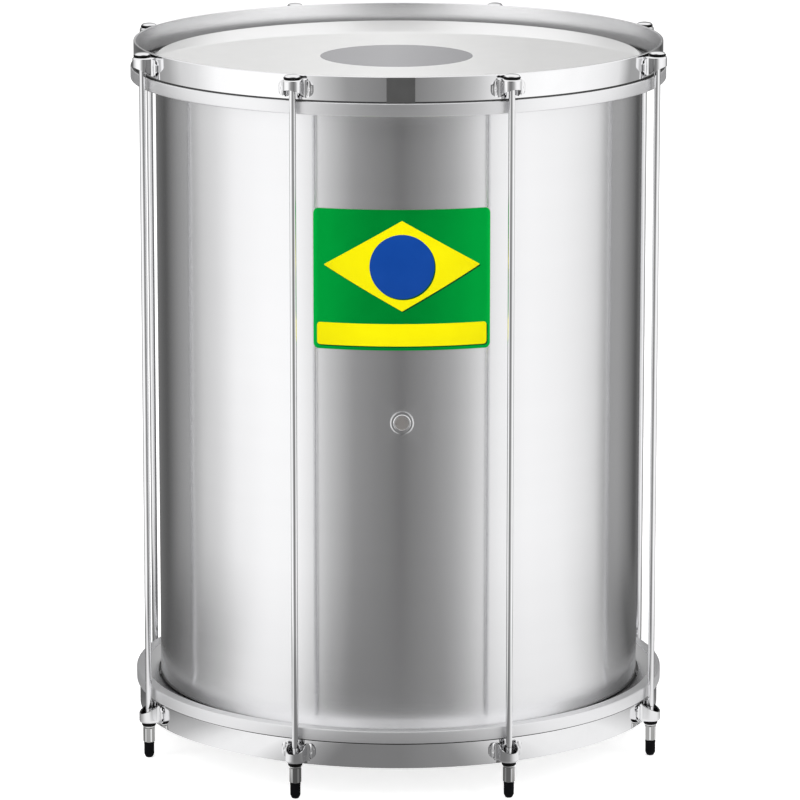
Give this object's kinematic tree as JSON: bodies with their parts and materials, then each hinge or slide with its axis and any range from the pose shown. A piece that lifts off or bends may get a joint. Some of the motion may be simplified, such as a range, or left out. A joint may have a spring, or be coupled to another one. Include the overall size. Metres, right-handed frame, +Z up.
{
  "type": "surdo drum",
  "caption": "Deep aluminium samba drum with a film head at each end, clamped by chromed hoops and full-length tension rods whose rubber-tipped nuts are its feet.",
  "frame": {"origin": "on the floor under the middle of the drum, level with the bottoms of the rubber tips", "axes": "+Z up along the drum's axis; -Y is the front, which carries the badge and the vent; the first rod stands 22.5 degrees from -Y towards +X and the numbers rise anticlockwise seen from above"},
  "size_m": [0.5038, 0.5038, 0.6731],
  "materials": {
    "shell": "satin, brushed round the shell",
    "channel": "satin",
    "hoop": "polished plate",
    "lug": "polished plate",
    "rod": "polished plate",
    "nut": "bright plate",
    "vent": "polished plate",
    "film": "smooth pale grey film",
    "head_print": "grey ink on the film",
    "badge": "glossy green",
    "badge_yellow": "glossy yellow",
    "badge_blue": "glossy blue",
    "washer": "black",
    "tip": "black"
  },
  "bodies": {
    "drum": {"shell": "shell", "vent_eyelet": "vent", "badge_plate": "badge", "batter_head": "film", "resonant_head": "film", "top_flesh_hoop": "channel", "bottom_flesh_hoop": "channel", "top_hoop": "hoop", "bottom_hoop": "hoop", "top_lug_1": "lug", "top_lug_2": "lug", "top_lug_3": "lug", "top_lug_4": "lug", "top_lug_5": "lug", "top_lug_6": "lug", "top_lug_7": "lug", "top_lug_8": "lug", "bottom_lug_1": "lug", "bottom_lug_2": "lug", "bottom_lug_3": "lug", "bottom_lug_4": "lug", "bottom_lug_5": "lug", "bottom_lug_6": "lug", "bottom_lug_7": "lug", "bottom_lug_8": "lug", "tension_rod_1": "rod", "tension_rod_2": "rod", "tension_rod_3": "rod", "tension_rod_4": "rod", "tension_rod_5": "rod", "tension_rod_6": "rod", "tension_rod_7": "rod", "tension_rod_8": "rod"},
    "washer_1": {"foot_washer_1": "washer"},
    "foot_1": {"foot_nut_1": "nut", "foot_tip_1": "tip"},
    "washer_2": {"foot_washer_2": "washer"},
    "foot_2": {"foot_nut_2": "nut", "foot_tip_2": "tip"},
    "washer_3": {"foot_washer_3": "washer"},
    "foot_3": {"foot_nut_3": "nut", "foot_tip_3": "tip"},
    "washer_4": {"foot_washer_4": "washer"},
    "foot_4": {"foot_nut_4": "nut", "foot_tip_4": "tip"},
    "washer_5": {"foot_washer_5": "washer"},
    "foot_5": {"foot_nut_5": "nut", "foot_tip_5": "tip"},
    "washer_6": {"foot_washer_6": "washer"},
    "foot_6": {"foot_nut_6": "nut", "foot_tip_6": "tip"},
    "washer_7": {"foot_washer_7": "washer"},
    "foot_7": {"foot_nut_7": "nut", "foot_tip_7": "tip"},
    "washer_8": {"foot_washer_8": "washer"},
    "foot_8": {"foot_nut_8": "nut", "foot_tip_8": "tip"}
  },
  "joints": [
    {"name": "foot_slide_1", "type": "slide", "parent": "drum", "child": "washer_1", "axis": [0, 0, -1], "range_m": [0, 0.01]},
    {"name": "foot_turn_1", "type": "hinge", "parent": "washer_1", "child": "foot_1", "pos_m": [0.09839, -0.23753, 0], "axis": [0, 0, -1], "range_deg": [0, 3600]},
    {"name": "foot_slide_2", "type": "slide", "parent": "drum", "child": "washer_2", "axis": [0, 0, -1], "range_m": [0, 0.01]},
    {"name": "foot_turn_2", "type": "hinge", "parent": "washer_2", "child": "foot_2", "pos_m": [0.23753, -0.09839, 0], "axis": [0, 0, -1], "range_deg": [0, 3600]},
    {"name": "foot_slide_3", "type": "slide", "parent": "drum", "child": "washer_3", "axis": [0, 0, -1], "range_m": [0, 0.01]},
    {"name": "foot_turn_3", "type": "hinge", "parent": "washer_3", "child": "foot_3", "pos_m": [0.23753, 0.09839, 0], "axis": [0, 0, -1], "range_deg": [0, 3600]},
    {"name": "foot_slide_4", "type": "slide", "parent": "drum", "child": "washer_4", "axis": [0, 0, -1], "range_m": [0, 0.01]},
    {"name": "foot_turn_4", "type": "hinge", "parent": "washer_4", "child": "foot_4", "pos_m": [0.09839, 0.23753, 0], "axis": [0, 0, -1], "range_deg": [0, 3600]},
    {"name": "foot_slide_5", "type": "slide", "parent": "drum", "child": "washer_5", "axis": [0, 0, -1], "range_m": [0, 0.01]},
    {"name": "foot_turn_5", "type": "hinge", "parent": "washer_5", "child": "foot_5", "pos_m": [-0.09839, 0.23753, 0], "axis": [0, 0, -1], "range_deg": [0, 3600]},
    {"name": "foot_slide_6", "type": "slide", "parent": "drum", "child": "washer_6", "axis": [0, 0, -1], "range_m": [0, 0.01]},
    {"name": "foot_turn_6", "type": "hinge", "parent": "washer_6", "child": "foot_6", "pos_m": [-0.23753, 0.09839, 0], "axis": [0, 0, -1], "range_deg": [0, 3600]},
    {"name": "foot_slide_7", "type": "slide", "parent": "drum", "child": "washer_7", "axis": [0, 0, -1], "range_m": [0, 0.01]},
    {"name": "foot_turn_7", "type": "hinge", "parent": "washer_7", "child": "foot_7", "pos_m": [-0.23753, -0.09839, 0], "axis": [0, 0, -1], "range_deg": [0, 3600]},
    {"name": "foot_slide_8", "type": "slide", "parent": "drum", "child": "washer_8", "axis": [0, 0, -1], "range_m": [0, 0.01]},
    {"name": "foot_turn_8", "type": "hinge", "parent": "washer_8", "child": "foot_8", "pos_m": [-0.09839, -0.23753, 0], "axis": [0, 0, -1], "range_deg": [0, 3600]}
  ],
  "couplings": [
    {"joint": "foot_slide_1", "follows": "foot_turn_1", "m_per_rad": 0.00015915},
    {"joint": "foot_slide_2", "follows": "foot_turn_2", "m_per_rad": 0.00015915},
    {"joint": "foot_slide_3", "follows": "foot_turn_3", "m_per_rad": 0.00015915},
    {"joint": "foot_slide_4", "follows": "foot_turn_4", "m_per_rad": 0.00015915},
    {"joint": "foot_slide_5", "follows": "foot_turn_5", "m_per_rad": 0.00015915},
    {"joint": "foot_slide_6", "follows": "foot_turn_6", "m_per_rad": 0.00015915},
    {"joint": "foot_slide_7", "follows": "foot_turn_7", "m_per_rad": 0.00015915},
    {"joint": "foot_slide_8", "follows": "foot_turn_8", "m_per_rad": 0.00015915}
  ]
}
